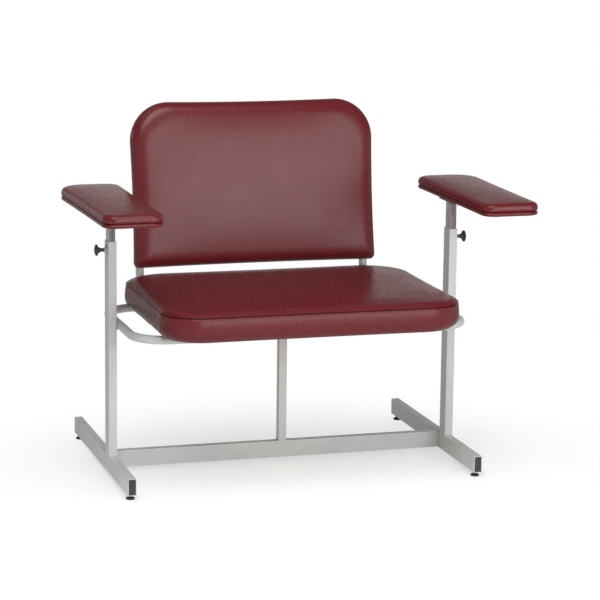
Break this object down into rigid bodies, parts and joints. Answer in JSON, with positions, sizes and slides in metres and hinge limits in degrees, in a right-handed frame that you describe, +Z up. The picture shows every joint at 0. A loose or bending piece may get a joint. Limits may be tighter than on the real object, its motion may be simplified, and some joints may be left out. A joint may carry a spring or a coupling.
{
  "type": "phlebotomy chair",
  "caption": "Extra-wide blood-draw chair: upholstered seat and back on a tube frame with two foot rails, with padded armrests on stems that slide in the posts and are held by clamp knobs.",
  "frame": {"origin": "on the floor, under the middle of the chair's overall width and depth", "axes": "+X to the viewer's right when facing the seat from in front, +Y towards the back of the chair, +Z up"},
  "size_m": [1.3122, 0.933, 1.0752],
  "materials": {
    "frame_paint": "satin",
    "chrome": "polished",
    "vinyl": "satin",
    "plywood": "matte",
    "bare_steel": "satin",
    "black_plastic": "matte"
  },
  "bodies": {
    "frame": {"back_board": "plywood", "back_bolts": "bare_steel", "back_cover": "vinyl", "back_cushion": "vinyl", "back_tee_nuts": "bare_steel", "brace_caps": "black_plastic", "centre_post": "frame_paint", "crossbar": "frame_paint", "frame_bolts": "bare_steel", "front_rail_caps": "black_plastic", "glide_nuts": "bare_steel", "left_back_upright": "frame_paint", "left_clamp_boss": "frame_paint", "left_foot_rail": "frame_paint", "left_post": "frame_paint", "rear_rail_caps": "black_plastic", "right_back_upright": "frame_paint", "right_clamp_boss": "frame_paint", "right_foot_rail": "frame_paint", "right_post": "frame_paint", "ring_screws": "bare_steel", "seat_board": "plywood", "seat_bolts": "bare_steel", "seat_brace": "frame_paint", "seat_cushion": "vinyl", "seat_ring": "frame_paint", "seat_tee_nuts": "bare_steel", "upright_plugs": "black_plastic"},
    "left_arm": {"left_arm_stem": "chrome", "left_stem_plug": "black_plastic", "left_arm_plate": "bare_steel", "left_arm_screws": "bare_steel", "left_arm_block": "vinyl", "left_arm_board": "vinyl", "left_arm_pad": "vinyl"},
    "left_knob": {"left_clamp_knob": "black_plastic", "left_knob_stud": "bare_steel"},
    "front_left_foot": {"front_left_glide": "black_plastic", "front_left_glide_stud": "bare_steel"},
    "rear_left_foot": {"rear_left_glide": "black_plastic", "rear_left_glide_stud": "bare_steel"},
    "right_arm": {"right_arm_stem": "chrome", "right_stem_plug": "black_plastic", "right_arm_plate": "bare_steel", "right_arm_screws": "bare_steel", "right_arm_block": "vinyl", "right_arm_board": "vinyl", "right_arm_pad": "vinyl"},
    "right_knob": {"right_clamp_knob": "black_plastic", "right_knob_stud": "bare_steel"},
    "front_right_foot": {"front_right_glide": "black_plastic", "front_right_glide_stud": "bare_steel"},
    "rear_right_foot": {"rear_right_glide": "black_plastic", "rear_right_glide_stud": "bare_steel"}
  },
  "joints": [
    {"name": "left_arm_height", "type": "slide", "parent": "frame", "child": "left_arm", "axis": [0, 0, 1], "range_m": [-0.086, 0.075]},
    {"name": "left_knob_turn", "type": "hinge", "parent": "frame", "child": "left_knob", "pos_m": [-0.555, -0.0225, 0.6869], "axis": [1, 0, 0], "range_deg": [0, 540]},
    {"name": "front_left_foot_turn", "type": "hinge", "parent": "frame", "child": "front_left_foot", "pos_m": [-0.53, -0.282, 0], "axis": [0, 0, 1], "range_deg": [-720, 720]},
    {"name": "rear_left_foot_turn", "type": "hinge", "parent": "frame", "child": "rear_left_foot", "pos_m": [-0.53, 0.4415, 0], "axis": [0, 0, 1], "range_deg": [-720, 720]},
    {"name": "right_arm_height", "type": "slide", "parent": "frame", "child": "right_arm", "axis": [0, 0, 1], "range_m": [-0.081, 0.075]},
    {"name": "right_knob_turn", "type": "hinge", "parent": "frame", "child": "right_knob", "pos_m": [0.555, -0.0225, 0.6869], "axis": [1, 0, 0], "range_deg": [0, 540]},
    {"name": "front_right_foot_turn", "type": "hinge", "parent": "frame", "child": "front_right_foot", "pos_m": [0.53, -0.282, 0], "axis": [0, 0, 1], "range_deg": [-720, 720]},
    {"name": "rear_right_foot_turn", "type": "hinge", "parent": "frame", "child": "rear_right_foot", "pos_m": [0.53, 0.4415, 0], "axis": [0, 0, 1], "range_deg": [-720, 720]}
  ]
}
